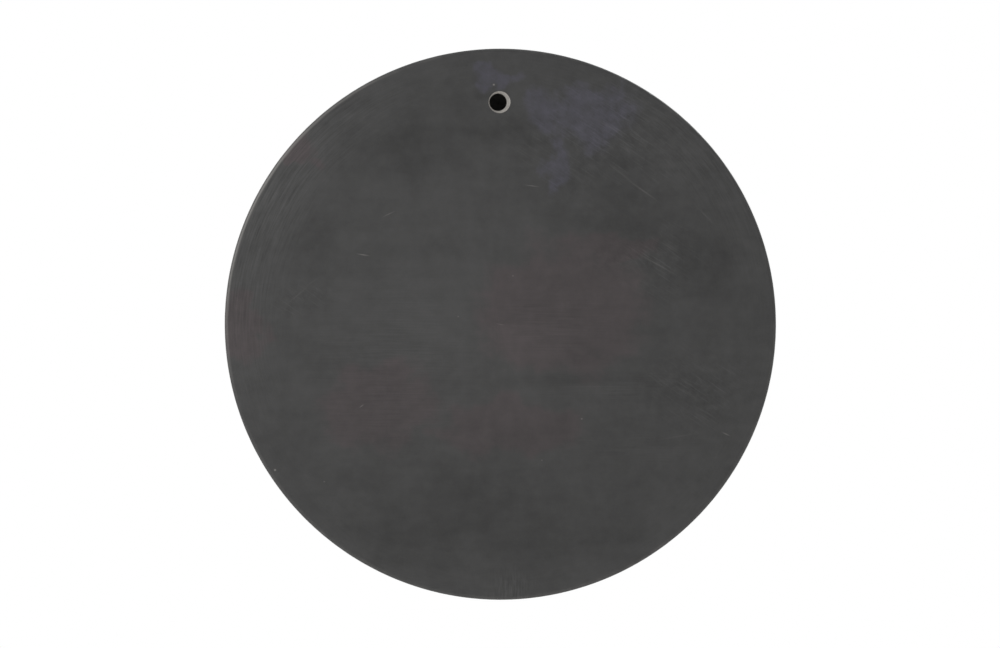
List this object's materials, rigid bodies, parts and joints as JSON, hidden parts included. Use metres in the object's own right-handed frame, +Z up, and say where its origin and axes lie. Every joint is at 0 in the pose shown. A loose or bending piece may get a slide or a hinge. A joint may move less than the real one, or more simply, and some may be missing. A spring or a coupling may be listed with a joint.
{
  "type": "garden sundial",
  "caption": "Wall-hung vertical sundial: round slate dial with cut hour lines, brass numerals and studs, and a pierced brass gnomon on a screwed sole; blind hanging hole in the plain back.",
  "frame": {"origin": "centre of the dial's flat back, on the plane of the wall", "axes": "+Z up the dial, from XII noon towards the hanging hole; +Y out of the back, into the wall, so the dial face and the gnomon look along -Y; +X to the right of someone reading the dial"},
  "size_m": [0.3, 0.0919, 0.3],
  "materials": {
    "slate": "honed, oiled, rubbed",
    "gnomon_brass": "satin, slightly dulled",
    "numeral_brass": "brushed",
    "fixing_brass": "turned"
  },
  "bodies": {
    "root": {"slate_disc": "slate", "gnomon_blade": "gnomon_brass", "gnomon_sole": "gnomon_brass", "sole_screws": "fixing_brass", "screw_inserts": "fixing_brass", "numeral_pins": "fixing_brass", "half_hour_studs": "numeral_brass", "numeral_vi_morning": "numeral_brass", "numeral_vii": "numeral_brass", "numeral_viii": "numeral_brass", "numeral_ix": "numeral_brass", "numeral_x": "numeral_brass", "numeral_xi": "numeral_brass", "numeral_xii": "numeral_brass", "numeral_i": "numeral_brass", "numeral_ii": "numeral_brass", "numeral_iii": "numeral_brass", "numeral_iiii": "numeral_brass", "numeral_v": "numeral_brass", "numeral_vi_evening": "numeral_brass"}
  },
  "joints": []
}
